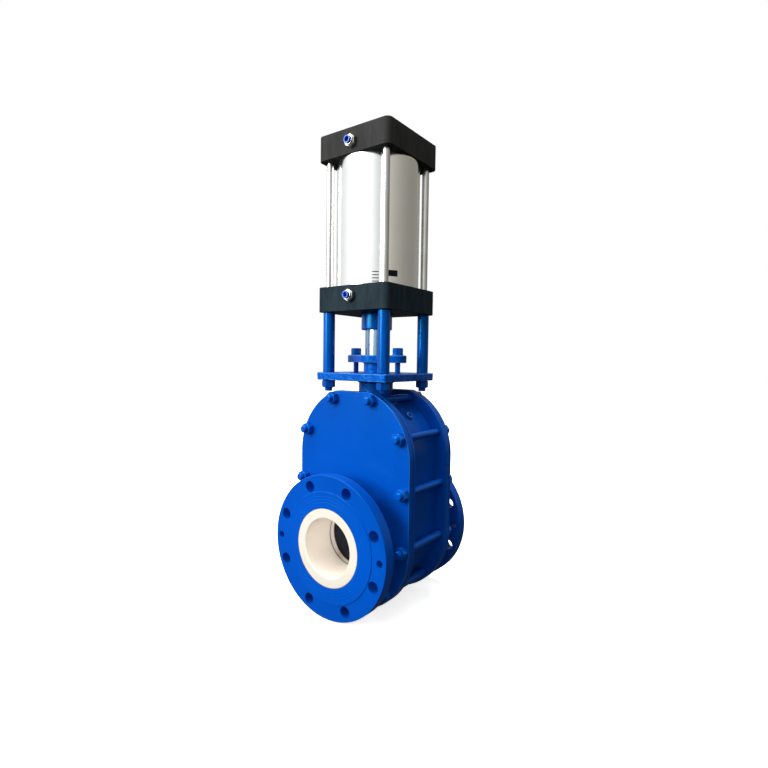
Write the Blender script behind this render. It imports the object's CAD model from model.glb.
import math

import bmesh
import bpy
from mathutils import Matrix, Vector


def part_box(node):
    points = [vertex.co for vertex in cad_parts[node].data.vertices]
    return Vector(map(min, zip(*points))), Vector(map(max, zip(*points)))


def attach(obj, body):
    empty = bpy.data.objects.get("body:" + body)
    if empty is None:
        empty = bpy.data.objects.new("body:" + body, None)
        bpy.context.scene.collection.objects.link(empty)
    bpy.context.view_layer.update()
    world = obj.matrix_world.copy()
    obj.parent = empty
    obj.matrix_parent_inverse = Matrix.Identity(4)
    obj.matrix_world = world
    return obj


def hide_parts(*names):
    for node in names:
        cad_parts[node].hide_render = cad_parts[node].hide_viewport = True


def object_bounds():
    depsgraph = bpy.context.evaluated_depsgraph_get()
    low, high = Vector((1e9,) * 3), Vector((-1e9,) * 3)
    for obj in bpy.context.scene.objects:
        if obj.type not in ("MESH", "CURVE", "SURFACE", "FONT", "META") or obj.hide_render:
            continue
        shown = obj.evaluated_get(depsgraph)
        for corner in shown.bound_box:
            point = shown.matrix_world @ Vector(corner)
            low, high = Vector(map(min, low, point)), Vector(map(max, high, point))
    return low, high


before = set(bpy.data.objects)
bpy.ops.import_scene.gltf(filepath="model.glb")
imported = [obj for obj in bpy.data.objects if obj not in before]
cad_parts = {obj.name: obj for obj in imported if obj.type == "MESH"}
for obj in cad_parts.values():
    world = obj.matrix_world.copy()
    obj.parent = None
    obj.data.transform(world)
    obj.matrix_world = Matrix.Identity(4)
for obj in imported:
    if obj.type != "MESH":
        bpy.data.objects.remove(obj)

cad_low, cad_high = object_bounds()

MM = 0.001
MERGE = 0.005 * MM


def low(node):
    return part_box(node)[0]


def high(node):
    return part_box(node)[1]


# Places taken from the frame.
FACE = high("rear_flange").y
FLANGE_RADIUS = high("front_flange").x
FLANGE_BACK = -high("front_flange").y
COVER_FACE = high("rear_cover").y
COVER_BACK = low("rear_cover").y
BODY_RADIUS = high("front_cover").x
BODY_TOP = high("front_cover").z
RIM_FACE = high("body_frame").y
LINER_RADIUS = high("front_liner").x
LINER_FOOT = low("rear_liner").y
SEAT_FACE = low("rear_seat").y
DISC_RADIUS = high("front_disc").x
STUD_END = high("body_stud_01").y
PLATE_FOOT = low("yoke_plate").z
PLATE_TOP = high("yoke_plate").z
PLATE_SIDE = 2 * high("yoke_plate").x
GLAND_TOP = high("gland_follower").z
GLAND_REACH = high("gland_follower").x
BOLT_TOP = high("left_gland_bolt").z
LOWER_CAP = (low("lower_cap").z, low("barrel").z - 0.3 * MM)
UPPER_CAP = (high("barrel").z + 0.3 * MM, high("upper_cap").z)
CAP_SIDE = 2 * high("lower_cap").x
BARREL_RADIUS = high("barrel").x
GUIDE_RADIUS = high("rod_guide").x
GUIDE_FOOT = low("rod_guide").z
POST_FOOT = low("front_left_post").z
CORNER = (high("front_right_post").x + low("front_right_post").x) / 2

# Sizes that the frame's boxes don't give.
ARC_RISE = 164.5 * MM
RAISED_RADIUS = 107.95 * MM
RAISED_HEIGHT = 1.6 * MM
LINER_BORE = 56.2 * MM
SEAT_BORE = 58.5 * MM
STUB_RADIUS = 84.15 * MM
RIM_DEPTH = 7.1 * MM
WALL_OUT = 115 * MM
WALL_IN = 107 * MM
STUD_RADIUS = 7.3 * MM
STUD_LINE = 127 * MM
NUT_FLATS = 24 * MM
STUD_NUT_FLATS = 22 * MM
STUD_NUT_DEPTH = 12 * MM
STEM_RADIUS = 22 * MM
NECK_RADIUS = 36 * MM
BOLT_CIRCLE = 120.65 * MM
BOLT_HOLE = 11.1 * MM
JACK_CIRCLE = 125 * MM
JACK_HOLE = 6.75 * MM
POST_RADIUS = 12.1 * MM
THREAD_RADIUS = 8 * MM
TIE_RADIUS = 7.4 * MM
CAP_CORNER = 12 * MM
GLAND_FOOT = 355 * MM
GLAND_BOLT_AT = 55 * MM
PORTS = {"lower": 486.5 * MM, "upper": 782 * MM}
ROUND = 96
FINE_ROUND = 128


# Workshop moves.

def clear_selection():
    bpy.ops.object.select_all(action="DESELECT")


def take(piece):
    """Makes a piece the only selected and active one."""
    clear_selection()
    piece.select_set(True)
    bpy.context.view_layer.objects.active = piece
    return piece


def named(name):
    """Names the new primitive, and puts its object's origin at the world's with its place in its mesh."""
    piece = bpy.context.active_object
    piece.name = name
    piece.data.name = name
    bpy.ops.object.transform_apply(location=True, rotation=True, scale=True)
    return piece


def edit(piece):
    take(piece)
    bpy.ops.object.mode_set(mode="EDIT")


def leave():
    bpy.ops.object.mode_set(mode="OBJECT")


def middle(item):
    return item.co if isinstance(item, bmesh.types.BMVert) else sum(
        (point.co for point in item.verts), Vector()
    ) / len(item.verts)


def pick(piece, kind, test):
    """In edit mode, selects the points, edges or faces that pass a test of the item and its middle."""
    bpy.ops.mesh.select_mode(type=kind)
    bpy.ops.mesh.select_all(action="DESELECT")
    mesh = bmesh.from_edit_mesh(piece.data)
    items = {"VERT": mesh.verts, "EDGE": mesh.edges, "FACE": mesh.faces}[kind]
    for item in items:
        if test(item, middle(item)):
            item.select_set(True)
    mesh.select_flush_mode()
    bmesh.update_edit_mesh(piece.data)


def tidy_shell(piece):
    """Merges doubles and turns all faces out."""
    bpy.ops.mesh.select_mode(type="VERT")
    bpy.ops.mesh.select_all(action="SELECT")
    bpy.ops.mesh.remove_doubles(threshold=MERGE)
    bpy.ops.mesh.normals_make_consistent(inside=False)


def rounded(corners, closed, cuts=4):
    """Turns each corner of a section that gives a radius, (across, along, radius), into an arc."""
    points = []
    for number, corner in enumerate(corners):
        place = Vector(corner[:2])
        if len(corner) < 3 or (not closed and number in (0, len(corners) - 1)):
            points.append(place)
            continue
        before = (Vector(corners[number - 1][:2]) - place).normalized()
        after = (Vector(corners[(number + 1) % len(corners)][:2]) - place).normalized()
        half = before.angle(after) / 2
        reach = corner[2] / math.tan(half)
        centre = place + (before + after).normalized() * corner[2] / math.sin(half)
        first = (place + before * reach - centre).normalized()
        last = (place + after * reach - centre).normalized()
        points += [centre + first.slerp(last, share / cuts) * corner[2] for share in range(cuts + 1)]
    return points


def turned(name, corners, axis="Y", at=(0, 0, 0), steps=ROUND, closed=True):
    """Draws half a section point by point, and spins it once round an axis. Corners are (radius, along, fillet)."""
    along = Vector((0, 1, 0)) if axis == "Y" else Vector((0, 0, 1))
    line = [Vector((p.x, 0, 0)) + along * p.y + Vector(at) for p in rounded(corners, closed)]
    clear_selection()
    bpy.ops.mesh.primitive_plane_add(size=MM, location=line[0])
    piece = named(name)
    edit(piece)
    bpy.ops.mesh.select_mode(type="VERT")
    bpy.ops.mesh.select_all(action="SELECT")
    bpy.ops.mesh.merge(type="CENTER")
    route = line[1:] + line[:1] if closed else line[1:]
    for start, end in zip(line, route):
        bpy.ops.mesh.extrude_region_move(TRANSFORM_OT_translate={"value": end - start})
    bpy.ops.mesh.select_all(action="SELECT")
    bpy.ops.mesh.spin(steps=steps, angle=math.tau, center=at, axis=along)
    tidy_shell(piece)
    leave()
    return piece


def cylinder(name, radius, start, end, axis="Y", at=(0, 0, 0), steps=48, turn=0.0):
    """A plain round or many-sided bar, to be shaped further or used as a cutter."""
    depth = end - start
    along = Vector((0, 1, 0)) if axis == "Y" else Vector((0, 0, 1))
    lean = {"Y": (math.pi / 2, turn, 0), "Z": (0, 0, turn)}[axis]
    clear_selection()
    bpy.ops.mesh.primitive_cylinder_add(
        vertices=steps,
        radius=radius,
        depth=depth,
        location=Vector(at) + along * (start + end) / 2,
        rotation=lean,
    )
    return named(name)


def block(name, size, place):
    clear_selection()
    bpy.ops.mesh.primitive_cube_add(size=1, location=place, scale=size)
    return named(name)


def apply(piece, kind, **settings):
    """Adds a modifier, sets it and applies it."""
    take(piece)
    modifier = piece.modifiers.new(kind.lower(), kind)
    for key, value in settings.items():
        setattr(modifier, key, value)
    bpy.ops.object.modifier_apply(modifier=modifier.name)
    return piece


def carve(piece, *tools, operation="DIFFERENCE"):
    """Cuts, joins or intersects a piece with others, which are used up."""
    for tool in tools:
        apply(piece, "BOOLEAN", object=tool, operation=operation, solver="EXACT")
        bpy.data.objects.remove(tool)
    return piece


def join_in(piece, *others):
    take(piece)
    for other in others:
        other.select_set(True)
    bpy.ops.object.join()
    return piece


def soften(piece, width, segments=2, angle=32, finishes=()):
    """Rounds the sharp edges. With two finishes, the rounded strips take the second."""
    for finish in finishes:
        piece.data.materials.append(finish)
    return apply(
        piece,
        "BEVEL",
        width=width,
        segments=segments,
        limit_method="ANGLE",
        angle_limit=math.radians(angle),
        use_clamp_overlap=True,
        material=len(finishes) - 1,
    )


def bevel_picked(piece, kind, test, width, segments=3):
    edit(piece)
    pick(piece, kind, test)
    bpy.ops.mesh.bevel(offset=width, segments=segments, affect="EDGES", clamp_overlap=True)
    leave()
    return piece


def stretch(piece):
    """Pulls the half above the pipe axis up, so that a round shape gets the body's straight sides."""
    edit(piece)
    pick(piece, "VERT", lambda item, at: at.z > 0)
    bpy.ops.transform.translate(value=(0, 0, ARC_RISE))
    leave()
    return piece


def turn_half_step(piece, steps):
    """Turns a round shape by half a facet, so that no point lies level with the pipe axis."""
    edit(piece)
    bpy.ops.mesh.select_all(action="SELECT")
    bpy.ops.transform.rotate(
        value=math.pi / steps, orient_axis="Y", orient_type="GLOBAL", center_override=(0, 0, 0)
    )
    leave()
    return piece


def cut_flat(piece, height):
    """Cuts the outline off flat at a height and closes it."""
    edit(piece)
    bpy.ops.mesh.select_all(action="SELECT")
    bpy.ops.mesh.bisect(
        plane_co=(0, 0, height), plane_no=(0, 0, 1), use_fill=True, clear_outer=True, threshold=MERGE
    )
    leave()
    return piece


def copy_of(piece, name, matrix):
    """A copy with its own mesh, placed by a matrix."""
    take(piece)
    bpy.ops.object.duplicate(linked=False)
    other = bpy.context.active_object
    other.name = name
    other.data.name = name
    other.matrix_world = matrix
    bpy.ops.object.transform_apply(location=True, rotation=True, scale=True)
    return other


def finish_shape(piece, angle=30):
    """Smooths all but the sharp edges, and lets the flat faces keep their flat look."""
    take(piece)
    bpy.ops.object.shade_smooth_by_angle(angle=math.radians(angle))
    apply(piece, "WEIGHTED_NORMAL", keep_sharp=True, weight=100)
    return piece


def put(piece, finish, nodes=(), body="valve", angle=30):
    """Finishes a piece, gives it its material, and hands it to a body of the frame."""
    finish_shape(piece, angle)
    if not piece.data.materials:
        piece.data.materials.append(finish)
    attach(piece, body)
    if nodes:
        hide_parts(*nodes)
    return piece


def roughen(piece, size, strength, kind="CLOUDS", levels=0):
    """Moves the surface a little in and out, as on a casting or a weld."""
    texture = bpy.data.textures.new(piece.name + "_grain", kind)
    texture.noise_scale = size
    if levels:
        apply(piece, "SUBSURF", subdivision_type="SIMPLE", levels=levels, render_levels=levels)
    return apply(
        piece, "DISPLACE", texture=texture, strength=strength, mid_level=0.5, texture_coords="LOCAL"
    )


# Materials.

class Finish:
    """A procedural material in the making."""

    def __init__(self, name):
        self.material = bpy.data.materials.new(name)
        self.material.use_nodes = True
        self.tree = self.material.node_tree
        self.shader = self.tree.nodes["Principled BSDF"]
        self.place = self.tree.nodes.new("ShaderNodeTexCoord").outputs["Object"]

    def add(self, kind, inputs=None, **settings):
        node = self.tree.nodes.new("ShaderNode" + kind)
        for key, value in settings.items():
            setattr(node, key, value)
        for key, value in (inputs or {}).items():
            self.feed(node.inputs[key], value)
        return node

    def feed(self, socket, value):
        if isinstance(value, bpy.types.NodeSocket):
            self.tree.links.new(value, socket)
        else:
            socket.default_value = value

    def set(self, **values):
        """Sets the shader's own sockets: base_color stands for Base Color, and so on."""
        for key, value in values.items():
            self.feed(self.shader.inputs[key.replace("_", " ").title().replace("Ior", "IOR")], value)

    def stretched(self, x, y, z):
        """The place on the piece, with each axis scaled, for grain that runs one way."""
        return self.add("Mapping", {"Vector": self.place, "Scale": (x, y, z)}).outputs["Vector"]

    def noise(self, scale, detail=2.0, roughness=0.5, place=None):
        node = self.add(
            "TexNoise",
            {"Vector": place or self.place, "Scale": scale, "Detail": detail, "Roughness": roughness},
        )
        return node.outputs["Fac"]

    def ramp(self, value, stops):
        """Maps a value through (position, value) stops to greys, or through (position, colour) stops to colours."""
        node = self.add("ValToRGB", {"Fac": value})
        elements = node.color_ramp.elements
        while len(elements) < len(stops):
            elements.new(0.5)
        for element, (position, colour) in zip(elements, stops):
            element.position = position
            element.color = (*colour, 1.0) if isinstance(colour, tuple) else (colour,) * 3 + (1.0,)
        return node.outputs["Color"]

    def span(self, value, start, end):
        """Maps a value from 0..1 to start..end."""
        return self.add(
            "MapRange", {"Value": value, "To Min": start, "To Max": end}
        ).outputs["Result"]

    def math(self, operation, first, second=0.0):
        node = self.add("Math", operation=operation)
        self.feed(node.inputs[0], first)
        self.feed(node.inputs[1], second)
        return node.outputs["Value"]

    def mix(self, share, first, second):
        node = self.add("Mix", data_type="RGBA")
        self.feed(node.inputs[0], share)
        for socket, value in ((node.inputs[6], first), (node.inputs[7], second)):
            self.feed(socket, (*value, 1.0) if isinstance(value, tuple) else value)
        return node.outputs[2]

    def bump(self, *layers):
        """Stacks bumps of (height, strength, distance)."""
        normal = None
        for height, strength, distance in layers:
            inputs = {"Height": height, "Strength": strength, "Distance": distance}
            if normal:
                inputs["Normal"] = normal
            normal = self.add("Bump", inputs).outputs["Normal"]
        self.feed(self.shader.inputs["Normal"], normal)


def blue_paint(name, grain, grain_depth, gloss, dust=0.35, shine=0.4, film=(0.0, 0.065, 0.405), brushed=0.0):
    """Blue gloss enamel: orange peel, a slow drift in shade, dust in the film and, on bars, brush lines along Z."""
    paint = Finish(name)
    drift = paint.ramp(paint.noise(7, 3), [(0.35, 0.0), (0.7, 1.0)])
    peel = paint.noise(520, 2, 0.45)
    lumps = paint.noise(grain, 4, 0.55)
    specks = paint.ramp(paint.noise(1900, 1), [(0.68, 0.0), (0.76, 1.0)])
    deep = tuple(0.9 * part for part in film)
    dusty = paint.math("MULTIPLY", specks, dust)
    coat = paint.mix(dusty, paint.mix(drift, film, deep), (0.010, 0.110, 0.430))
    layers = [(peel, 0.22, 0.12 * MM), (lumps, 0.6, grain_depth)]
    if brushed:
        lines = paint.noise(1, 4, 0.6, paint.stretched(260, 260, 14))
        thin = paint.math("MULTIPLY", paint.ramp(lines, [(0.42, 0.0), (0.62, 1.0)]), brushed)
        coat = paint.mix(thin, coat, tuple(0.45 * part for part in film))
        layers.append((lines, 0.5, 0.35 * MM))
    paint.set(
        base_color=coat,
        roughness=paint.span(paint.noise(60, 3), gloss, gloss + 0.12),
        ior=1.5,
        specular_ior_level=shine,
        specular_tint=(0.03, 0.52, 1.0, 1.0),
    )
    paint.bump(*layers)
    return paint.material


def black_coat(name, shade, scuffed, shine):
    """Black anodised and shot-blasted cap: fine grain, faint scuffs."""
    coat = Finish(name)
    grain = coat.noise(1500, 3, 0.6)
    wiped = coat.noise(1, 5, 0.65, coat.stretched(75, 75, 14))
    scuff = coat.ramp(wiped, [(0.38, 0.0), (0.66, 1.0)])
    coat.set(
        base_color=coat.mix(scuff, shade, scuffed),
        roughness=coat.span(wiped, 0.22, 0.50),
        specular_ior_level=shine,
    )
    coat.bump((grain, 0.30, 0.10 * MM), (coat.noise(240, 3), 0.12, 0.15 * MM))
    return coat.material


def drawn_metal(name, colour, worn, rough, streak=(900, 900, 9), depth=0.03):
    """Drawn or ground metal, with fine lines along its length."""
    metal = Finish(name)
    lines = metal.noise(1, 5, 0.6, metal.stretched(*streak))
    cloud = metal.noise(18, 4, 0.55)
    metal.set(
        base_color=metal.mix(metal.ramp(cloud, [(0.35, 0.0), (0.75, 1.0)]), colour, worn),
        metallic=1.0,
        roughness=metal.span(lines, rough - 0.06, rough + 0.10),
    )
    metal.bump((lines, 0.25, depth * MM))
    return metal


def ceramic(name, colour, deep, gloss, grain_depth, shine=0.5, lean=(22, 22, 22)):
    """Sintered ceramic: an even satin body with faint clouds and a very fine grain."""
    body = Finish(name)
    cloud = body.ramp(body.noise(1, 5, 0.6, body.stretched(*lean)), [(0.30, 0.0), (0.75, 1.0)])
    grain = body.noise(1300, 3, 0.6)
    body.set(
        base_color=body.mix(cloud, colour, deep),
        roughness=body.span(grain, gloss, gloss + 0.15),
        specular_ior_level=shine,
    )
    body.bump((grain, 0.25, grain_depth))
    return body


def moulded(name, colour, other, rough, grain=700):
    """Rubber, plastic or packing: a soft surface with a fine even grain."""
    body = Finish(name)
    noise = body.noise(grain, 3, 0.6)
    body.set(
        base_color=body.mix(body.noise(40, 3), colour, other),
        roughness=body.span(noise, rough, rough + 0.12),
    )
    body.bump((noise, 0.25, 0.08 * MM))
    return body.material


SHEET_PAINT = blue_paint("sheet_enamel", 90, 0.05 * MM, 0.24)
CAST_PAINT = blue_paint("casting_enamel", 150, 2.2 * MM, 0.22, 0.6, 0.45)
PART_PAINT = blue_paint("bolt_enamel", 420, 0.12 * MM, 0.14, 0.5, 0.8, (0.0, 0.075, 0.440))
POST_PAINT = blue_paint("post_enamel", 420, 0.12 * MM, 0.16, 0.5, 0.7, brushed=0.6)
EDGE_PAINT = blue_paint("edge_enamel", 420, 0.05 * MM, 0.20, 0.5, 0.8, (0.01, 0.13, 0.50))
ROUGH_EDGE = blue_paint("cut_edge_enamel", 200, 1.2 * MM, 0.20, 0.8, 0.45, (0.03, 0.19, 0.60))
LIP_BROWN = moulded("seat_lip_rubber", (0.085, 0.022, 0.018), (0.110, 0.030, 0.024), 0.5)
JOINT_GREY = moulded("liner_joint_filler", (0.300, 0.250, 0.275), (0.360, 0.300, 0.330), 0.55)
LOWER_COAT = black_coat("lower_cap_anodising", (0.013, 0.022, 0.029), (0.023, 0.036, 0.045), 0.008)
UPPER_COAT = black_coat("upper_cap_anodising", (0.029, 0.029, 0.028), (0.042, 0.042, 0.041), 0.008)
TIE_STEEL = drawn_metal("tie_rod_steel", (0.68, 0.68, 0.66), (0.58, 0.57, 0.54), 0.22).material
CHROME = drawn_metal("stem_chrome", (0.33, 0.47, 0.59), (0.29, 0.43, 0.55), 0.20, depth=0.005).material
PLAIN_STEEL = drawn_metal("turned_steel", (0.52, 0.52, 0.53), (0.40, 0.39, 0.38), 0.34).material
PISTON_METAL = drawn_metal("piston_metal", (0.70, 0.70, 0.71), (0.60, 0.60, 0.61), 0.34).material
NICKEL = drawn_metal("nickel_plate", (0.80, 0.77, 0.70), (0.66, 0.62, 0.54), 0.18, (300, 300, 300)).material
DARK_CERAMIC = ceramic("dark_ceramic", (0.007, 0.009, 0.015), (0.020, 0.025, 0.038), 0.30, 0.02 * MM, 0.16, (240, 240, 40)).material


def cream_ceramic():
    """The lining: matt where its end is ground, and brighter and glazed in the bore."""
    body = ceramic("cream_ceramic", (0.590, 0.552, 0.476), (0.570, 0.528, 0.452), 0.34, 0.03 * MM)
    parts = body.add("SeparateXYZ", {"Vector": body.place})
    across = body.math("POWER", parts.outputs["X"], 2.0)
    up = body.math("POWER", parts.outputs["Z"], 2.0)
    radius = body.math("SQRT", body.math("ADD", across, up))
    inside = body.add(
        "MapRange",
        {"Value": radius, "From Min": SEAT_BORE + 4 * MM, "From Max": SEAT_BORE + 0.5 * MM},
    ).outputs["Result"]
    deep = body.add(
        "MapRange",
        {
            "Value": body.math("ABSOLUTE", parts.outputs["Y"]),
            "From Min": FACE - 0.6 * MM,
            "From Max": FACE - 4.2 * MM,
        },
    ).outputs["Result"]
    ground = body.shader.inputs["Base Color"].links[0].from_socket
    body.set(base_color=body.mix(body.math("MULTIPLY", inside, deep), ground, (0.96, 0.87, 0.76)))
    return body.material


WHITE_CERAMIC = cream_ceramic()
NITRILE = moulded("nitrile_rubber", (0.018, 0.018, 0.019), (0.030, 0.030, 0.030), 0.55)
GRAPHITE = moulded("graphite_packing", (0.050, 0.050, 0.054), (0.085, 0.085, 0.090), 0.62, 260)
COLLET_BLUE = moulded("collet_plastic", (0.010, 0.110, 0.560), (0.016, 0.130, 0.620), 0.26, 500)
SEALANT = moulded("liner_sealant", (0.330, 0.200, 0.090), (0.430, 0.280, 0.140), 0.60, 300)
TUBE_DARK = moulded("socket_shadow", (0.006, 0.006, 0.007), (0.010, 0.010, 0.011), 0.70)


def barrel_metal():
    """Clear anodised drawn tube, with four short dark dashes and a dark blank plate printed near its foot."""
    finish = drawn_metal("barrel_skin", (0.93, 0.92, 0.89), (0.89, 0.88, 0.85), 0.16, (700, 700, 5), 0.004)
    parts = finish.add("SeparateXYZ", {"Vector": finish.place})
    round_at = finish.math("ARCTAN2", parts.outputs["Y"], parts.outputs["X"])
    height = parts.outputs["Z"]

    def within(value, centre, half):
        away = finish.math("ABSOLUTE", finish.math("SUBTRACT", value, centre))
        return finish.math("LESS_THAN", away, half)

    foot = low("barrel").z
    dashes = None
    for number in range(4):
        dash = within(height, foot + (5 + 6.1 * number) * MM, 0.9 * MM)
        dashes = dash if dashes is None else finish.math("MAXIMUM", dashes, dash)
    dashes = finish.math("MULTIPLY", dashes, within(round_at, math.radians(-55.5), math.radians(4.4)))
    plate = finish.math(
        "MULTIPLY",
        within(height, foot + 21.5 * MM, 6 * MM),
        within(round_at, math.radians(-32.5), math.radians(6.6)),
    )
    ink = finish.math("MAXIMUM", dashes, plate)
    bare = finish.shader.inputs["Base Color"].links[0].from_socket
    smooth = finish.shader.inputs["Roughness"].links[0].from_socket
    finish.set(
        base_color=finish.mix(ink, bare, (0.008, 0.010, 0.016)),
        metallic=finish.math("SUBTRACT", 1.0, ink),
        roughness=finish.math("MAXIMUM", smooth, finish.math("MULTIPLY", ink, 0.6)),
        specular_ior_level=finish.span(ink, 0.5, 0.08),
    )
    return finish.material


BARREL_METAL = barrel_metal()


# Ends: flange, stub, lining, seat, disc and cover.

def stud_places():
    """(x, z) of each through stud: every 45 degrees round both ends, and one pair up the sides."""
    lower = [math.radians(-45 * i) for i in range(5)]
    upper = [math.radians(22.5 + 45 * i) for i in range(4)]
    places = [(STUD_LINE * math.cos(turn), STUD_LINE * math.sin(turn)) for turn in lower]
    places += [(side * STUD_LINE, ARC_RISE * 2 / 3) for side in (1, -1)]
    places += [(STUD_LINE * math.cos(turn), ARC_RISE + STUD_LINE * math.sin(turn)) for turn in upper]
    return places


def machined_face(face):
    """The turned rings on the raised face, from the rim inwards: shallow grooves a tool leaves."""
    corners = []
    for radius, width, depth in (
        (103.0, 0.5, 0.10),
        (100.2, 1.0, 0.28),
        (97.0, 0.5, 0.12),
        (94.2, 1.0, 0.30),
        (91.2, 0.5, 0.12),
        (88.4, 1.0, 0.30),
        (85.4, 0.5, 0.12),
        (82.6, 1.0, 0.26),
        (79.8, 0.5, 0.10),
    ):
        corners += [
            ((radius + width) * MM, face),
            (radius * MM, face - depth * MM),
            ((radius - width) * MM, face),
        ]
    return corners


def make_flange(word, side):
    step = FACE - RAISED_HEIGHT
    inner = LINER_RADIUS + 0.3 * MM
    flange = turned(
        f"{word}_flange_ring",
        [
            (inner, FLANGE_BACK),
            (inner, FACE),
            *reversed(machined_face(FACE)),
            (RAISED_RADIUS, FACE, 0.5 * MM),
            (RAISED_RADIUS, step, 0.5 * MM),
            (FLANGE_RADIUS, step, 1.1 * MM),
            (FLANGE_RADIUS, FLANGE_BACK, 1.1 * MM),
        ],
        steps=FINE_ROUND,
    )
    tools = []
    for number in range(8):
        turn = math.tau * (number + 0.5) / 8
        at = (BOLT_CIRCLE * math.cos(turn), 0, BOLT_CIRCLE * math.sin(turn))
        tools.append(cylinder("bolt_hole", BOLT_HOLE, FLANGE_BACK - MM, FACE + MM, at=at, steps=40))
    for x in (JACK_CIRCLE, -JACK_CIRCLE):
        tools.append(cylinder("jack_hole", JACK_HOLE, FLANGE_BACK - MM, FACE + MM, at=(x, 0, 0), steps=28))
    carve(flange, join_in(*tools))
    holes = [(BOLT_CIRCLE * math.cos(math.tau * (i + 0.5) / 8), BOLT_CIRCLE * math.sin(math.tau * (i + 0.5) / 8), BOLT_HOLE) for i in range(8)]
    holes += [(x, 0, JACK_HOLE) for x in (JACK_CIRCLE, -JACK_CIRCLE)]

    def hole_edge(edge, at):
        if not any(abs(at.y - y) < 0.01 * MM for y in (step, FLANGE_BACK)):
            return False
        return any(
            all(abs(math.hypot(v.co.x - x, v.co.z - z) - r) < 0.02 * MM for v in edge.verts)
            for x, z, r in holes
        )

    bevel_picked(flange, "EDGE", hole_edge, 0.7 * MM, 2)
    face_way(flange, side)
    put(flange, SHEET_PAINT, [f"{word}_flange"])


def face_way(piece, side):
    """A piece made for the rear end goes to the front end by a half turn about the stem."""
    if side > 0:
        return piece
    edit(piece)
    bpy.ops.mesh.select_all(action="SELECT")
    bpy.ops.transform.rotate(
        value=math.pi, orient_axis="Z", orient_type="GLOBAL", center_override=(0, 0, 0)
    )
    leave()
    return piece


def weld_bead(name, radius, along, width, axis="Y", at=(0, 0, 0)):
    """A fillet weld round a pipe: a bulging ring with the ripples of its passes."""
    bead = turned(
        name,
        [
            (radius - 0.4 * MM, along - 0.2 * width),
            (radius - 0.4 * MM, along + width),
            (radius + 0.35 * width, along + 0.72 * width),
            (radius + 0.72 * width, along + 0.35 * width),
            (radius + width, along - 0.2 * width),
        ],
        axis=axis,
        at=at,
        steps=180,
    )
    return roughen(bead, 5 * MM, 1.3 * MM)


def make_stub(word, side):
    stub = turned(
        f"{word}_pipe_neck",
        [
            (LINER_RADIUS + 0.3 * MM, COVER_FACE),
            (LINER_RADIUS + 0.3 * MM, FLANGE_BACK),
            (STUB_RADIUS, FLANGE_BACK),
            (STUB_RADIUS, COVER_FACE),
        ],
    )
    beads = [
        weld_bead(f"{word}_cover_weld", STUB_RADIUS, COVER_FACE, 6 * MM),
        weld_bead(f"{word}_flange_weld", STUB_RADIUS, -FLANGE_BACK, 6 * MM),
    ]
    face_way(beads[1], -1)
    for bead in beads:
        face_way(bead, side)
        put(bead, CAST_PAINT, angle=60)
    put(face_way(stub, side), SHEET_PAINT, [f"{word}_pipe_stub"])


def make_lining(word, side):
    liner = turned(
        f"{word}_ceramic_liner",
        [
            (LINER_BORE, LINER_FOOT, 1.2 * MM),
            (LINER_BORE, FACE, 3.2 * MM),
            (LINER_RADIUS, FACE, 1.2 * MM),
            (LINER_RADIUS, LINER_FOOT, 0.6 * MM),
        ],
        steps=FINE_ROUND,
    )
    put(face_way(liner, side), WHITE_CERAMIC, [f"{word}_liner"])
    sealant = turned(
        f"{word}_liner_sealant",
        [
            (LINER_RADIUS - 1.0 * MM, FACE - 3.0 * MM),
            (LINER_RADIUS - 0.9 * MM, FACE - 0.50 * MM),
            (LINER_RADIUS + 0.1 * MM, FACE - 0.12 * MM),
            (LINER_RADIUS + 0.7 * MM, FACE - 0.50 * MM),
            (LINER_RADIUS + 0.8 * MM, FACE - 3.0 * MM),
        ],
        steps=FINE_ROUND,
    )
    put(face_way(sealant, side), SEALANT)
    seat = turned(
        f"{word}_seat_ring",
        [
            (SEAT_BORE, SEAT_FACE, 0.8 * MM),
            (SEAT_BORE, LINER_FOOT - 0.3 * MM, 1.8 * MM),
            (LINER_RADIUS, LINER_FOOT - 0.3 * MM, 0.4 * MM),
            (LINER_RADIUS, SEAT_FACE, 0.4 * MM),
        ],
        steps=FINE_ROUND,
    )
    put(face_way(seat, side), WHITE_CERAMIC, [f"{word}_seat"])
    lip = turned(
        f"{word}_seat_lip",
        [
            (SEAT_BORE - 0.7 * MM, SEAT_FACE + 0.5 * MM, 0.5 * MM),
            (SEAT_BORE - 0.7 * MM, SEAT_FACE + 3.2 * MM, 0.5 * MM),
            (SEAT_BORE + 0.6 * MM, SEAT_FACE + 3.2 * MM),
            (SEAT_BORE + 0.6 * MM, SEAT_FACE + 0.5 * MM),
        ],
        steps=FINE_ROUND,
    )
    put(face_way(lip, side), LIP_BROWN)
    joint = turned(
        f"{word}_liner_joint",
        [
            (LINER_BORE + 0.3 * MM, LINER_FOOT - 2.8 * MM, 0.3 * MM),
            (LINER_BORE + 0.3 * MM, LINER_FOOT + 0.4 * MM),
            (SEAT_BORE + 0.6 * MM, LINER_FOOT + 0.4 * MM),
            (SEAT_BORE + 0.6 * MM, LINER_FOOT - 2.8 * MM),
        ],
        steps=FINE_ROUND,
    )
    put(face_way(joint, side), JOINT_GREY)
    face = SEAT_FACE - 0.3 * MM
    disc = turned(
        f"{word}_lapped_disc",
        [
            (0, face),
            (DISC_RADIUS, face, 1.0 * MM),
            (DISC_RADIUS, 44 * MM, 1.0 * MM),
            (34 * MM, 44 * MM, 2.0 * MM),
            (34 * MM, 22.4 * MM),
            (21.9 * MM, 22.4 * MM),
            (21.9 * MM, 8 * MM, 0.8 * MM),
            (0, 8 * MM),
        ],
        steps=FINE_ROUND,
        closed=False,
    )
    put(face_way(disc, side), DARK_CERAMIC, [f"{word}_disc"], f"{word}_disc")


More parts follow.
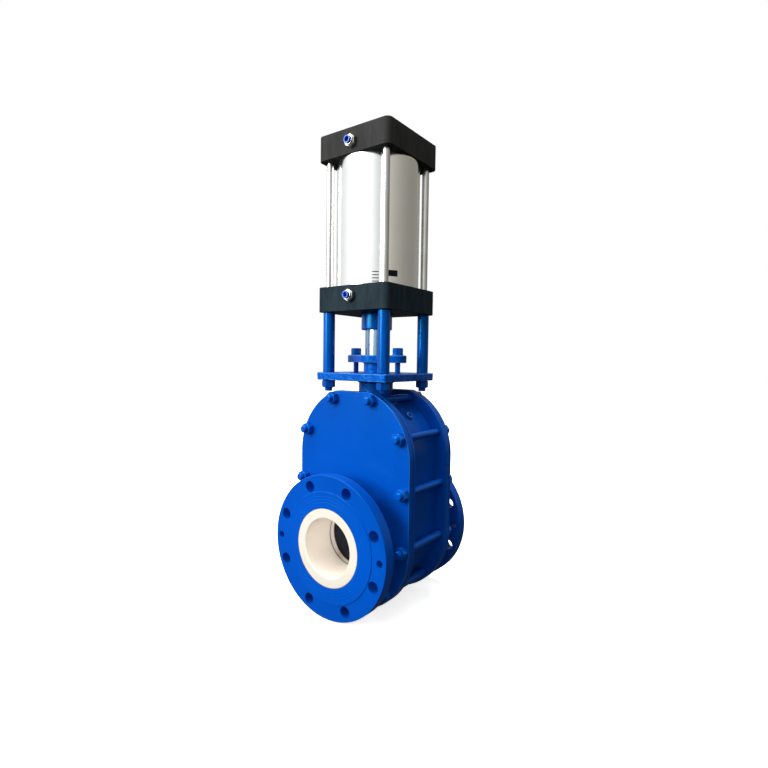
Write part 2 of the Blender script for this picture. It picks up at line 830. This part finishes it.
def make_cover(word, side):
    cover = cylinder(
        f"{word}_cover_plate", BODY_RADIUS, COVER_BACK, COVER_FACE, steps=FINE_ROUND, turn=math.pi / FINE_ROUND
    )
    stretch(cover)
    cut_flat(cover, BODY_TOP)
    soften(cover, 1.0 * MM, 3, finishes=(SHEET_PAINT, EDGE_PAINT))
    tools = [cylinder("cover_bore", LINER_RADIUS + 0.3 * MM, COVER_BACK - MM, COVER_FACE + MM, steps=ROUND)]
    for x, z in stud_places():
        tools.append(
            cylinder("stud_hole", STUD_RADIUS + 1.7 * MM, COVER_BACK - MM, COVER_FACE + MM, at=(x, 0, z), steps=32)
        )
    carve(cover, join_in(*tools))
    put(face_way(cover, side), SHEET_PAINT, [f"{word}_cover"])


for word, side in (("front", -1), ("rear", 1)):
    make_flange(word, side)
    make_stub(word, side)
    make_lining(word, side)
    make_cover(word, side)


# Body box with its rims, studs and vent plug.

PLUG_TURN = math.radians(46)
PLUG_OUT = Vector((math.cos(PLUG_TURN), 0, math.sin(PLUG_TURN)))
PLUG_PLACE = Matrix.Translation(Vector((0, 6 * MM, ARC_RISE)) + PLUG_OUT * WALL_OUT) @ Matrix.Rotation(
    math.pi / 2 - PLUG_TURN, 4, "Y"
)


def make_body():
    channel = RIM_FACE - RIM_DEPTH
    body = turned(
        "body_box",
        [
            (WALL_IN, -RIM_FACE),
            (BODY_RADIUS, -RIM_FACE),
            (BODY_RADIUS, -channel),
            (WALL_OUT, -channel),
            (WALL_OUT, channel),
            (BODY_RADIUS, channel),
            (BODY_RADIUS, RIM_FACE),
            (WALL_IN, RIM_FACE),
        ],
        steps=FINE_ROUND,
    )
    turn_half_step(body, FINE_ROUND)
    stretch(body)
    cut_flat(body, BODY_TOP)
    for low_side, high_side in ((-RIM_FACE, -channel), (channel, RIM_FACE)):

        def rim_edge(edge, at):
            if not any(abs(at.y - y) < 0.05 * MM for y in (low_side, high_side)) or edge.calc_face_angle(0) < 0.7:
                return False
            return at.z > BODY_TOP - 0.05 * MM or math.hypot(at.x, max(0, at.z - ARC_RISE) + min(0, at.z)) > WALL_OUT + MM

        edit(body)
        pick(body, "EDGE", rim_edge)
        bpy.ops.mesh.bevel(offset=0.8 * MM, segments=3, affect="EDGES", clamp_overlap=True)
        leave()
    tools = [cylinder("neck_hole", NECK_RADIUS - 2 * MM, ARC_RISE, BODY_TOP, axis="Z", steps=ROUND)]
    for x, z in stud_places():
        for start, end in ((-RIM_FACE - MM, -channel + 5 * MM), (channel - 5 * MM, RIM_FACE + MM)):
            tools.append(cylinder("rim_hole", STUD_RADIUS + 1.2 * MM, start, end, at=(x, 0, z), steps=24))
    carve(body, join_in(*tools))
    put(body, SHEET_PAINT, ["body_frame"])


def make_thread(name, radius, start, end, pitch, axis="Z"):
    """A threaded bar end: rings of a thread's pitch and depth, with a chamfered tip at the far end."""
    depth = 0.61 * pitch
    count = max(1, int((end - start - 1.2 * MM) / pitch))
    corners = [(0, start), (radius, start)]
    for number in range(count):
        foot = start + 0.3 * MM + number * pitch
        corners += [
            (radius, foot + 0.1 * pitch),
            (radius - depth, foot + 0.45 * pitch),
            (radius - depth, foot + 0.62 * pitch),
            (radius, foot + 0.97 * pitch),
        ]
    corners += [(radius - 0.8 * MM, end), (0, end)]
    return turned(name, corners, axis=axis, steps=32, closed=False)


def make_nut(name, flats, start, end, axis="Z", turn=0.0, hole=0.0, at=(0, 0, 0)):
    """A hexagon with the round chamfer of a nut or a bolt head at both ends."""
    corner = flats / math.sqrt(3)
    nut = cylinder(name, corner, start, end, axis=axis, at=at, steps=6, turn=turn)
    slope = (corner - 0.47 * flats) * math.tan(math.radians(30))
    wide = corner * 1.05
    spare = (wide - 0.47 * flats) * math.tan(math.radians(30))
    lens = turned(
        "nut_chamfer",
        [
            (0, start),
            (0.47 * flats, start),
            (wide, start + spare),
            (wide, end - spare),
            (0.47 * flats, end),
            (0, end),
        ],
        axis=axis,
        at=at,
        steps=60,
        closed=False,
    )
    carve(nut, lens, operation="INTERSECT")
    if hole:
        mouth = turned(
            "nut_mouth",
            [(0, start + slope), (hole, start + 1.6 * MM), (hole + 1.4 * MM, start - 0.2 * MM), (0, start - 0.2 * MM)],
            axis=axis,
            at=at,
            steps=40,
            closed=False,
        )
        carve(nut, mouth)
    return nut


def make_studs():
    """One through stud with a nut on each end, copied to every place with its nuts left at their own angles."""
    nut_foot = COVER_FACE + 0.3 * MM
    nut_top = nut_foot + STUD_NUT_DEPTH
    bar = turned(
        "stud_bar",
        [
            (0, -STUD_END),
            (STUD_RADIUS - 1.3 * MM, -STUD_END, 0.8 * MM),
            (STUD_RADIUS, -STUD_END + 1.6 * MM, 0.6 * MM),
            (STUD_RADIUS, -STUD_END + 3.0 * MM),
            (STUD_RADIUS - 0.7 * MM, -STUD_END + 3.7 * MM),
            (STUD_RADIUS, -STUD_END + 4.4 * MM),
            (STUD_RADIUS, -STUD_END + 5.0 * MM),
            (STUD_RADIUS - 0.7 * MM, -STUD_END + 5.7 * MM),
            (STUD_RADIUS, -STUD_END + 6.4 * MM),
            (STUD_RADIUS, STUD_END - 6.4 * MM),
            (STUD_RADIUS - 0.7 * MM, STUD_END - 5.7 * MM),
            (STUD_RADIUS, STUD_END - 5.0 * MM),
            (STUD_RADIUS, STUD_END - 4.4 * MM),
            (STUD_RADIUS - 0.7 * MM, STUD_END - 3.7 * MM),
            (STUD_RADIUS, STUD_END - 3.0 * MM),
            (STUD_RADIUS, STUD_END - 1.6 * MM, 0.6 * MM),
            (STUD_RADIUS - 1.3 * MM, STUD_END, 0.8 * MM),
            (0, STUD_END),
        ],
        steps=36,
        closed=False,
    )
    nuts = [
        make_nut("rear_nut", STUD_NUT_FLATS, nut_foot, nut_top, axis="Y"),
        make_nut("front_nut", STUD_NUT_FLATS, -nut_top, -nut_foot, axis="Y"),
    ]
    carve(bar, *nuts, operation="UNION")
    for number, (x, z) in enumerate(stud_places(), 1):
        turn = Matrix.Rotation(math.radians(17 * number), 4, "Y")
        stud = copy_of(bar, f"through_stud_{number:02d}", Matrix.Translation((x, 0, z)) @ turn)
        put(stud, PART_PAINT, [f"body_stud_{number:02d}"])
    bpy.data.objects.remove(bar)


def make_vent_plug():
    plug = turned(
        "shoulder_vent_plug",
        [
            (0, -7.5 * MM),
            (5.0 * MM, -7.5 * MM),
            (5.0 * MM, 0.3 * MM),
            (8.8 * MM, 0.3 * MM, 0.3 * MM),
            (8.8 * MM, 4.5 * MM, 0.9 * MM),
            (0, 4.5 * MM),
        ],
        axis="Z",
        steps=48,
        closed=False,
    )
    carve(plug, cylinder("plug_socket", 3.5 * MM, 1.2 * MM, 9 * MM, axis="Z", steps=6))
    soften(plug, 0.25 * MM, 2)
    plug.matrix_world = PLUG_PLACE
    take(plug)
    bpy.ops.object.transform_apply(location=True, rotation=True, scale=True)
    put(plug, PART_PAINT, ["vent_plug"])


make_body()
make_studs()
make_vent_plug()


# Neck, gland and yoke.

def make_neck():
    neck = turned(
        "stuffing_box_neck",
        [
            (26.5 * MM, PLATE_FOOT - 0.3 * MM),
            (NECK_RADIUS, PLATE_FOOT - 0.3 * MM),
            (NECK_RADIUS, 262 * MM),
            (22.3 * MM, 262 * MM),
            (22.3 * MM, 276 * MM),
            (26.5 * MM, 276 * MM),
        ],
        axis="Z",
    )
    put(neck, CAST_PAINT, ["stuffing_box"])
    top_bead = weld_bead("plate_weld", NECK_RADIUS, -(PLATE_FOOT - 0.4 * MM), 5.5 * MM, axis="Z")
    edit(top_bead)
    bpy.ops.mesh.select_all(action="SELECT")
    bpy.ops.transform.rotate(
        value=math.pi, orient_axis="X", orient_type="GLOBAL", center_override=(0, 0, 0)
    )
    leave()
    put(top_bead, CAST_PAINT, angle=60)
    bead = weld_bead("neck_weld", NECK_RADIUS, 0, 7 * MM, axis="Z")
    edit(bead)
    for share in range(60):
        turn = math.tau * share / 60
        pick(
            bead,
            "VERT",
            lambda item, at: at.z < 40 * MM
            and abs((math.atan2(at.y, at.x) - turn + math.pi) % math.tau - math.pi) <= math.pi / 60,
        )
        rise = ARC_RISE + math.sqrt(WALL_OUT**2 - ((NECK_RADIUS + 3 * MM) * math.cos(turn)) ** 2)
        bpy.ops.transform.translate(value=(0, 0, rise - MM))
    leave()
    put(bead, CAST_PAINT, angle=60)


def make_gland():
    ear = 18 * MM
    waist = 38 * MM
    lean = math.acos((waist - ear) / GLAND_BOLT_AT)
    gland = cylinder("gland_flange", waist, GLAND_FOOT, GLAND_TOP, axis="Z", steps=ROUND)
    edit(gland)
    for side in (1, -1):
        pick(gland, "VERT", lambda item, at: side * at.x > waist * math.cos(lean) - MERGE)
        bpy.ops.transform.resize(value=(ear / waist, ear / waist, 1), center_override=(0, 0, 0))
        bpy.ops.transform.translate(value=(side * GLAND_BOLT_AT, 0, 0))
    leave()
    soften(gland, 2.0 * MM, 4, finishes=(CAST_PAINT, ROUGH_EDGE))
    boss = turned(
        "gland_boss",
        [
            (22.3 * MM, 301.5 * MM),
            (26.2 * MM, 301.5 * MM, 0.6 * MM),
            (26.2 * MM, GLAND_FOOT - 2 * MM, 1.8 * MM),
            (30 * MM, GLAND_FOOT + 1 * MM),
            (30 * MM, GLAND_FOOT + 5 * MM),
            (22.3 * MM, GLAND_FOOT + 5 * MM),
        ],
        axis="Z",
    )
    carve(gland, boss, operation="UNION")
    bore = turned(
        "gland_bore",
        [
            (0, 300 * MM),
            (22.4 * MM, 300 * MM),
            (22.4 * MM, GLAND_TOP - 1.2 * MM),
            (23.8 * MM, GLAND_TOP + 0.2 * MM),
            (0, GLAND_TOP + 0.2 * MM),
        ],
        axis="Z",
        closed=False,
    )
    holes = [
        cylinder("gland_hole", 6.8 * MM, 340 * MM, 380 * MM, axis="Z", at=(side * GLAND_BOLT_AT, 0, 0), steps=32)
        for side in (1, -1)
    ]
    carve(gland, bore, *holes)
    put(gland, CAST_PAINT, ["gland_follower"])
    for word, side in (("left", -1), ("right", 1)):
        at = (side * GLAND_BOLT_AT, 0, 0)
        bolt = make_thread(f"{word}_gland_screw", 6.0 * MM, -(GLAND_TOP + MM), -(PLATE_FOOT + 3 * MM), 1.75 * MM)
        edit(bolt)
        bpy.ops.mesh.select_all(action="SELECT")
        bpy.ops.transform.rotate(
            value=math.pi, orient_axis="X", orient_type="GLOBAL", center_override=(0, 0, 0)
        )
        bpy.ops.transform.translate(value=at)
        leave()
        washer = turned(
            "gland_washer",
            [
                (0, GLAND_TOP + 0.3 * MM),
                (11.5 * MM, GLAND_TOP + 0.3 * MM, 0.4 * MM),
                (11.5 * MM, GLAND_TOP + 2.6 * MM, 0.5 * MM),
                (0, GLAND_TOP + 2.6 * MM),
            ],
            axis="Z",
            at=at,
            steps=48,
            closed=False,
        )
        head = make_nut("gland_head", 19 * MM, GLAND_TOP + 2.4 * MM, BOLT_TOP, turn=0.3, at=at)
        carve(bolt, washer, head, operation="UNION")
        put(bolt, PART_PAINT, [f"{word}_gland_bolt"])


def corners():
    for word, x, y in (
        ("front_left", -CORNER, -CORNER),
        ("front_right", CORNER, -CORNER),
        ("rear_right", CORNER, CORNER),
        ("rear_left", -CORNER, CORNER),
    ):
        yield word, x, y


def make_plate():
    """The flame-cut yoke plate: rounded corners, and sides that wave a little."""
    plate = block("yoke_base_plate", (PLATE_SIDE, PLATE_SIDE, PLATE_TOP - PLATE_FOOT), (0, 0, (PLATE_TOP + PLATE_FOOT) / 2))
    half = PLATE_SIDE / 2 - MERGE
    bevel_picked(plate, "EDGE", lambda edge, at: abs(at.x) > half and abs(at.y) > half, 6 * MM, 6)
    edit(plate)
    for number in range(1, 36):
        place = -PLATE_SIDE / 2 + PLATE_SIDE * number / 36
        for normal in ((1, 0, 0), (0, 1, 0)):
            bpy.ops.mesh.select_all(action="SELECT")
            bpy.ops.mesh.bisect(plane_co=Vector(normal) * place, plane_no=normal, threshold=MERGE)
    leave()
    soften(plate, 2.0 * MM, 3, 40, finishes=(CAST_PAINT, ROUGH_EDGE))
    edge = plate.vertex_groups.new(name="cut_sides")
    near = PLATE_SIDE / 2 - 2.4 * MM
    edge.add([v.index for v in plate.data.vertices if max(abs(v.co.x), abs(v.co.y)) > near], 1.0, "REPLACE")
    texture = bpy.data.textures.new("flame_cut", "CLOUDS")
    texture.noise_scale = 7 * MM
    apply(
        plate,
        "DISPLACE",
        texture=texture,
        strength=3.2 * MM,
        mid_level=0.74,
        texture_coords="LOCAL",
        vertex_group="cut_sides",
    )
    tools = [cylinder("plate_bore", 26.5 * MM, PLATE_FOOT - MM, PLATE_TOP + MM, axis="Z", steps=ROUND)]
    for _, x, y in corners():
        tools.append(cylinder("post_hole", 8.6 * MM, PLATE_FOOT - MM, PLATE_TOP + MM, axis="Z", at=(x, y, 0)))
    for side in (1, -1):
        at = (side * GLAND_BOLT_AT, 0, 0)
        tools.append(cylinder("screw_hole", 6.6 * MM, PLATE_FOOT - MM, PLATE_TOP + MM, axis="Z", at=at))
    carve(plate, join_in(*tools))
    put(plate, CAST_PAINT, ["yoke_plate"])


def make_posts():
    """One turned post with its nut under the plate, copied to the four corners."""
    nut_top = PLATE_FOOT - 0.3 * MM
    nut_foot = nut_top - 15 * MM
    top = LOWER_CAP[0] - 0.3 * MM
    post = turned(
        "post_bar",
        [
            (0, POST_FOOT),
            (6.4 * MM, POST_FOOT, 0.8 * MM),
            (THREAD_RADIUS, POST_FOOT + 1.8 * MM),
            (THREAD_RADIUS, POST_FOOT + 2.4 * MM),
            (7.2 * MM, POST_FOOT + 3.2 * MM),
            (THREAD_RADIUS, POST_FOOT + 4.0 * MM),
            (THREAD_RADIUS, POST_FOOT + 4.5 * MM),
            (7.2 * MM, POST_FOOT + 5.3 * MM),
            (THREAD_RADIUS, POST_FOOT + 6.1 * MM),
            (THREAD_RADIUS, PLATE_TOP + 0.3 * MM),
            (POST_RADIUS, PLATE_TOP + 0.3 * MM, 1.0 * MM),
            (POST_RADIUS, top, 1.0 * MM),
            (THREAD_RADIUS, top),
            (THREAD_RADIUS, top + 20 * MM),
            (0, top + 20 * MM),
        ],
        axis="Z",
        steps=64,
        closed=False,
    )
    carve(post, make_nut("post_nut", NUT_FLATS, nut_foot, nut_top, turn=0.35), operation="UNION")
    for word, x, y in corners():
        one = copy_of(post, f"{word}_yoke_post", Matrix.Translation((x, y, 0)))
        put(one, POST_PAINT, [f"{word}_post"])
    bpy.data.objects.remove(post)


make_neck()
make_gland()
make_plate()
make_posts()


# Cylinder: stem, guide, caps, barrel, tie rods and air fittings.

def make_stem():
    top = high("stem").z
    stem = turned(
        "chromed_stem",
        [
            (0, 45.3 * MM),
            (15 * MM, 45.3 * MM, 1 * MM),
            (15 * MM, 100.3 * MM),
            (STEM_RADIUS, 100.3 * MM, 1 * MM),
            (STEM_RADIUS, 517.7 * MM, 1 * MM),
            (15 * MM, 517.7 * MM),
            (15 * MM, top, 1 * MM),
            (0, top),
        ],
        axis="Z",
        closed=False,
    )
    put(stem, CHROME, ["stem"], "gate")


def make_guide():
    top = LOWER_CAP[0] - 0.3 * MM
    guide = turned(
        "rod_guide_sleeve",
        [
            (22.9 * MM, GUIDE_FOOT + 1.5 * MM),
            (24.6 * MM, GUIDE_FOOT, 0.3 * MM),
            (GUIDE_RADIUS, GUIDE_FOOT, 2.2 * MM),
            (GUIDE_RADIUS, top, 0.8 * MM),
            (22.9 * MM, top),
        ],
        axis="Z",
    )
    put(guide, POST_PAINT, ["rod_guide"])
    wiper = turned(
        "stem_wiper",
        [
            (22.05 * MM, GUIDE_FOOT + 0.4 * MM, 0.2 * MM),
            (23.2 * MM, GUIDE_FOOT + 0.9 * MM, 0.3 * MM),
            (23.2 * MM, GUIDE_FOOT + 6 * MM),
            (22.25 * MM, GUIDE_FOOT + 6 * MM),
        ],
        axis="Z",
    )
    put(wiper, NITRILE)


def make_cap(word, heights, port):
    foot, top = heights
    cap = block(f"{word}_cylinder_cap", (CAP_SIDE, CAP_SIDE, top - foot), (0, 0, (foot + top) / 2))
    half = CAP_SIDE / 2 - MERGE
    bevel_picked(cap, "EDGE", lambda edge, at: abs(at.x) > half and abs(at.y) > half, CAP_CORNER, 12)
    soften(cap, 1.1 * MM, 3, 40)
    spot = turned(
        "port_spot",
        [
            (0, -CAP_SIDE / 2 + 30 * MM),
            (9 * MM, -CAP_SIDE / 2 + 30 * MM),
            (9 * MM, -CAP_SIDE / 2 + 0.8 * MM),
            (10.2 * MM, -CAP_SIDE / 2 - 0.4 * MM),
            (0, -CAP_SIDE / 2 - 0.4 * MM),
        ],
        at=(0, 0, port),
        steps=64,
        closed=False,
    )
    tools = [spot]
    inner = foot if word == "upper" else top
    reach = -20 * MM if word == "upper" else 20 * MM
    for _, x, y in corners():
        start, end = sorted((inner + reach, inner - reach / 8))
        tools.append(cylinder("rod_hole", 8.4 * MM, start, end, axis="Z", at=(x, y, 0), steps=40))
        if word == "lower":
            tools.append(cylinder("post_hole", 8.6 * MM, foot - MM, foot + 22 * MM, axis="Z", at=(x, y, 0)))
        else:
            tools.append(cylinder("nut_hole", 16 * MM, top - 13 * MM, top + MM, axis="Z", at=(x, y, 0)))
            tools.append(cylinder("end_hole", 8.4 * MM, foot - MM, top, axis="Z", at=(x, y, 0)))
    if word == "lower":
        tools.append(cylinder("stem_hole", 22.4 * MM, foot - MM, top + MM, axis="Z", steps=ROUND))
    carve(cap, *tools)
    put(cap, UPPER_COAT if word == "upper" else LOWER_COAT, [f"{word}_cap"])


def make_barrel():
    foot, top = low("barrel").z, high("barrel").z
    barrel = turned(
        "cylinder_tube",
        [
            (80 * MM, foot),
            (BARREL_RADIUS, foot, 0.4 * MM),
            (BARREL_RADIUS, top, 0.4 * MM),
            (80 * MM, top),
        ],
        axis="Z",
        steps=FINE_ROUND,
    )
    put(barrel, BARREL_METAL, ["barrel"])


def make_tie_rods():
    top = UPPER_CAP[1]
    rod = turned(
        "tie_bar",
        [
            (0, LOWER_CAP[0] + 22 * MM),
            (TIE_RADIUS, LOWER_CAP[0] + 22 * MM),
            (TIE_RADIUS, top - 3.6 * MM),
            (6.9 * MM, top - 3.0 * MM),
            (TIE_RADIUS, top - 2.4 * MM),
            (6.3 * MM, top - 1.0 * MM, 0.4 * MM),
            (0, top - 1.0 * MM),
        ],
        axis="Z",
        steps=64,
        closed=False,
    )
    nut = make_nut("tie_nut", NUT_FLATS, top - 12.7 * MM, top - 2.0 * MM, turn=0.2)
    carve(rod, nut, operation="UNION")
    for word, x, y in corners():
        one = copy_of(rod, f"{word}_tie_bar", Matrix.Translation((x, y, 0)))
        put(one, TIE_STEEL, [f"{word}_tie_rod"])
    bpy.data.objects.remove(rod)


def make_fitting(word, port):
    """A push-in fitting: a chamfered hexagon, a round shoulder, and the collet that frees the tube."""
    wall = -CAP_SIDE / 2
    at = (0, 0, port)
    body = make_nut(f"{word}_push_fitting", 22 * MM, wall - 8.5 * MM, wall - 0.3 * MM, axis="Y", at=at)
    shoulder = turned(
        "fitting_shoulder",
        [
            (0, wall + 12 * MM),
            (8.7 * MM, wall + 12 * MM),
            (8.7 * MM, wall - 1 * MM),
            (9.8 * MM, wall - 1 * MM),
            (9.8 * MM, wall - 12 * MM, 1.1 * MM),
            (0, wall - 12 * MM),
        ],
        at=at,
        steps=64,
        closed=False,
    )
    carve(body, shoulder, operation="UNION")
    bore = turned(
        "fitting_bore",
        [
            (0, wall + 13 * MM),
            (4.2 * MM, wall + 13 * MM),
            (4.2 * MM, wall + 2 * MM),
            (6.6 * MM, wall + 2 * MM),
            (6.6 * MM, wall - 11.4 * MM),
            (7.3 * MM, wall - 12.2 * MM),
            (0, wall - 12.2 * MM),
        ],
        at=at,
        steps=64,
        closed=False,
    )
    carve(body, bore)
    put(body, NICKEL, [f"{word}_air_fitting"])
    tip = low(f"{word}_collet").y
    collet = turned(
        f"{word}_release_collet",
        [
            (5.0 * MM, tip, 0.35 * MM),
            (7.6 * MM, tip, 0.6 * MM),
            (7.6 * MM, tip + 2.0 * MM, 0.5 * MM),
            (6.3 * MM, tip + 2.0 * MM),
            (6.3 * MM, high(f"{word}_collet").y),
            (5.0 * MM, high(f"{word}_collet").y),
        ],
        at=at,
        steps=64,
    )
    put(collet, COLLET_BLUE, [f"{word}_collet"], f"{word}_collet")


make_stem()
make_guide()
make_cap("lower", LOWER_CAP, PORTS["lower"])
make_cap("upper", UPPER_CAP, PORTS["upper"])
make_barrel()
make_tie_rods()
for word, port in PORTS.items():
    make_fitting(word, port)


# What stays from the frame: the pieces inside the valve and the cylinder.

KEPT = {
    "front_gasket": NITRILE,
    "rear_gasket": NITRILE,
    "packing_ring_1": GRAPHITE,
    "packing_ring_2": GRAPHITE,
    "packing_ring_3": GRAPHITE,
    "rod_seal": NITRILE,
    "stem_pin": PLAIN_STEEL,
    "gate_carrier": PLAIN_STEEL,
    "disc_spring": PLAIN_STEEL,
    "piston": PISTON_METAL,
    "piston_seal": NITRILE,
    "piston_wear_band": GRAPHITE,
    "piston_nut": PLAIN_STEEL,
}
for node, finish in KEPT.items():
    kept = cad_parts[node]
    kept.data.materials.clear()
    kept.data.materials.append(finish)


# Studio: a pale floor, soft light and the camera.

def make_studio():
    clear_selection()
    bpy.ops.mesh.primitive_circle_add(
        vertices=96, radius=14, fill_type="NGON", location=(0, 0, cad_low.z - 0.2 * MM)
    )
    floor = named("studio_floor")
    pale = Finish("pale_floor")
    grain = pale.noise(3, 2)
    pale.set(base_color=pale.mix(grain, (0.93, 0.93, 0.93), (0.90, 0.90, 0.90)), roughness=0.85, specular_ior_level=0.1, emission_color=(1, 1, 1, 1), emission_strength=0.75)
    floor.data.materials.append(pale.material)

    floor.visible_diffuse = False
    floor.visible_glossy = False

    # The room: bright on the left, dim on the right and below, and plain white behind the object.
    world = bpy.data.worlds.new("studio")
    bpy.context.scene.world = world
    world.use_nodes = True
    tree = world.node_tree
    room = tree.nodes["Background"]
    look = tree.nodes.new("ShaderNodeTexCoord").outputs["Generated"]
    left = tree.nodes.new("ShaderNodeVectorMath")
    left.operation = "DOT_PRODUCT"
    left.inputs[1].default_value = (-0.809, -0.588, 0)
    tree.links.new(look, left.inputs[0])
    side = tree.nodes.new("ShaderNodeMapRange")
    side.inputs["From Min"].default_value = -1
    tree.links.new(left.outputs["Value"], side.inputs["Value"])
    fall = tree.nodes.new("ShaderNodeValToRGB")
    shades = ((0.0, (0.42, 0.41, 0.36)), (0.25, (0.55, 0.54, 0.50)), (0.50, (0.70, 0.73, 0.75)), (0.62, (0.94, 0.98, 1.0)))
    while len(fall.color_ramp.elements) < len(shades):
        fall.color_ramp.elements.new(0.5)
    for element, (position, shade) in zip(fall.color_ramp.elements, shades):
        element.position = position
        element.color = (*shade, 1)
    tree.links.new(side.outputs["Result"], fall.inputs["Fac"])
    tree.links.new(fall.outputs["Color"], room.inputs["Color"])
    parts = tree.nodes.new("ShaderNodeSeparateXYZ")
    tree.links.new(look, parts.inputs["Vector"])
    rise = tree.nodes.new("ShaderNodeMapRange")
    rise.interpolation_type = "SMOOTHSTEP"
    for socket, value in (("From Min", -0.10), ("From Max", 0.04), ("To Max", 1.15)):
        rise.inputs[socket].default_value = value
    tree.links.new(parts.outputs["Z"], rise.inputs["Value"])
    depth = tree.nodes.new("ShaderNodeMapRange")
    for socket, value in (("From Min", -0.95), ("From Max", 0.80), ("To Min", 1.0), ("To Max", 0.5)):
        depth.inputs[socket].default_value = value
    tree.links.new(parts.outputs["Y"], depth.inputs["Value"])
    level = tree.nodes.new("ShaderNodeMath")
    level.operation = "MULTIPLY"
    tree.links.new(rise.outputs["Result"], level.inputs[0])
    tree.links.new(depth.outputs["Result"], level.inputs[1])
    tree.links.new(level.outputs["Value"], room.inputs["Strength"])
    plain = tree.nodes.new("ShaderNodeBackground")
    plain.inputs["Color"].default_value = (1, 1, 1, 1)
    path = tree.nodes.new("ShaderNodeLightPath")
    floor_glow = tree.nodes.new("ShaderNodeMath")
    floor_glow.operation = "MULTIPLY_ADD"
    floor_glow.inputs[1].default_value = 0.14
    floor_glow.inputs[2].default_value = 0.02
    tree.links.new(path.outputs["Is Glossy Ray"], floor_glow.inputs[0])
    tree.links.new(floor_glow.outputs["Value"], rise.inputs["To Min"])
    swap = tree.nodes.new("ShaderNodeMixShader")
    tree.links.new(path.outputs["Is Camera Ray"], swap.inputs["Fac"])
    tree.links.new(room.outputs["Background"], swap.inputs[1])
    tree.links.new(plain.outputs["Background"], swap.inputs[2])
    tree.links.new(swap.outputs["Shader"], tree.nodes["World Output"].inputs["Surface"])


def soft_light(name, place, target, size, watts, colour=(1, 1, 1)):
    light = bpy.data.lights.new(name, "AREA")
    light.shape = "RECTANGLE"
    light.size, light.size_y = size
    light.energy = watts
    light.color = colour
    lamp = bpy.data.objects.new(name, light)
    bpy.context.scene.collection.objects.link(lamp)
    lamp.location = place
    lamp.rotation_euler = (Vector(target) - Vector(place)).to_track_quat("-Z", "Y").to_euler()
    return lamp


def port_light():
    """A narrow beam into the near port, which lights the bore's far wall."""
    light = bpy.data.lights.new("port_beam", "SPOT")
    light.spot_size = math.radians(6.6)
    light.spot_blend = 0.6
    light.shadow_soft_size = 0.06
    light.energy = 70
    lamp = bpy.data.objects.new("port_beam", light)
    bpy.context.scene.collection.objects.link(lamp)
    turn = math.radians(44)
    target = Vector((-0.004, -0.145, 0.010))
    lamp.location = target + Vector((math.sin(turn), -math.cos(turn), -0.055)) * 1.7
    lamp.rotation_euler = (target - lamp.location).to_track_quat("-Z", "Y").to_euler()


def make_camera():
    turn, tip, roll = math.radians(36.15), math.radians(2.709), math.radians(0.821)
    back = Vector((math.sin(turn) * math.cos(tip), -math.cos(turn) * math.cos(tip), math.sin(tip)))
    right = Vector((math.cos(turn), math.sin(turn), 0))
    up = back.cross(right)
    across = right * math.cos(roll) + up * math.sin(roll)
    above = up * math.cos(roll) - right * math.sin(roll)
    camera = bpy.data.objects.new("studio_camera", bpy.data.cameras.new("studio_camera"))
    bpy.context.scene.collection.objects.link(camera)
    camera.data.sensor_width = 36
    camera.data.lens = 23.855
    place = Vector((21.05, 0, 310.58)) * MM + back * 1065.7 * MM
    camera.matrix_world = Matrix.Translation(place) @ Matrix((across, above, back)).transposed().to_4x4()
    bpy.context.scene.camera = camera


make_studio()
soft_light("key", (-0.9, -2.3, 1.2), (0, 0, 0.3), (1.4, 1.6), 84)
soft_light("top", (-0.2, 0.1, 3.0), (0, 0, 0), (2.2, 2.2), 110)
port_light()
make_camera()
bpy.context.scene.view_settings.view_transform = "Standard"
